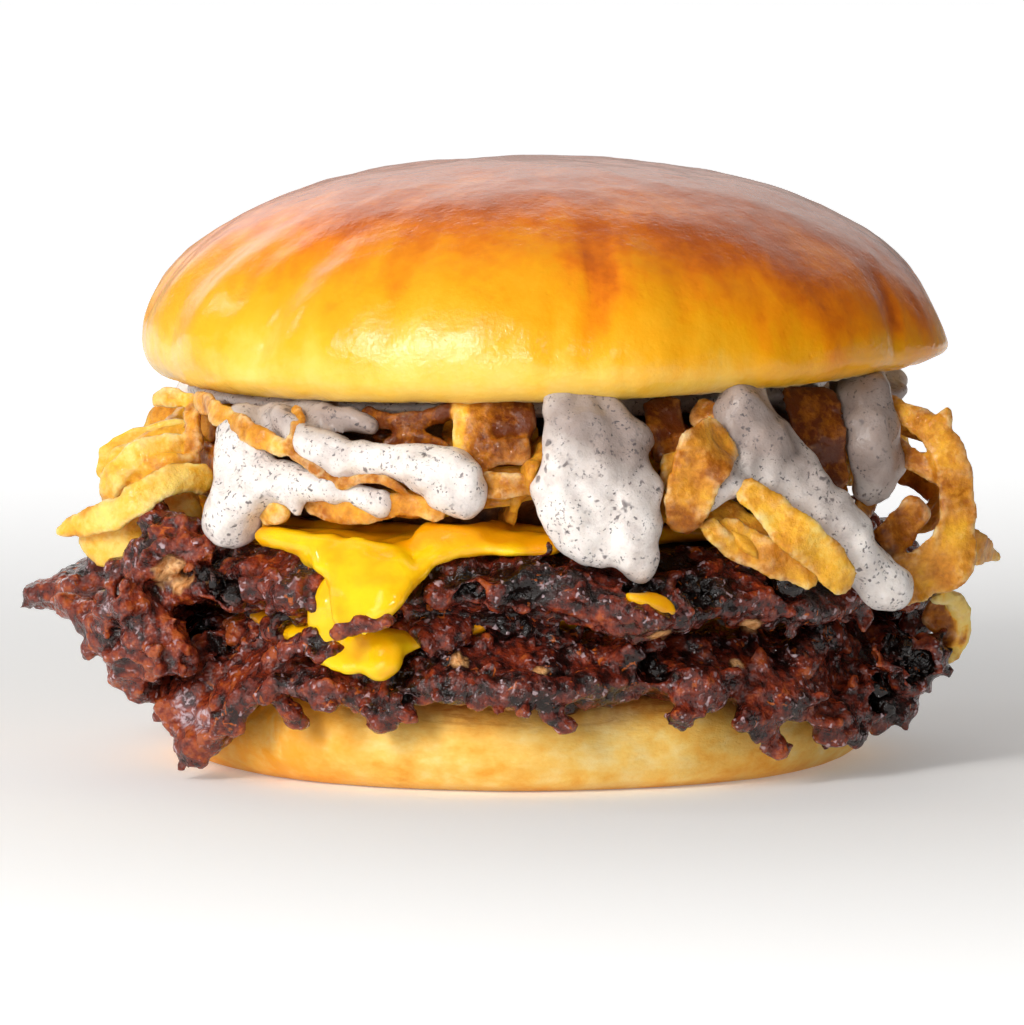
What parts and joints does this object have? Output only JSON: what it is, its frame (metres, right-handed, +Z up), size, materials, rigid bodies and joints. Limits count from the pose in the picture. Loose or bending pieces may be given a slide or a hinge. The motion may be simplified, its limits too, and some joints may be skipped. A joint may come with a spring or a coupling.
{
  "type": "truffle burger",
  "caption": "Burger in a glossy domed bun with stacked smashed patties, melted cheese, fried onions and runs of speckled truffle sauce.",
  "frame": {"origin": "middle of the burger's bounding box, on the surface it rests on", "axes": "+Z up, +X to the right as the picture shows the burger, -Y towards the viewer"},
  "size_m": [0.129, 0.1142, 0.0804],
  "materials": {
    "bun_top": "glazed golden brioche crust, deep amber on top and pale yellow at the rim",
    "bun_bottom": "pale golden crust, soft satin, toasted at the cut edge",
    "patty": "dark seared minced meat, craggy, wet with fat",
    "cheese": "melted yellow cheese, smooth and glossy",
    "onion": "fried onion, golden, crinkled and partly translucent",
    "sauce": "creamy off-white sauce with dark truffle specks, glossy"
  },
  "bodies": {
    "root": {"bun_bottom": "bun_bottom", "patty_lower": "patty", "cheese_lower": "cheese", "patty_upper": "patty", "cheese_upper": "cheese", "onions": "onion", "sauce": "sauce", "bun_top": "bun_top"}
  },
  "joints": []
}
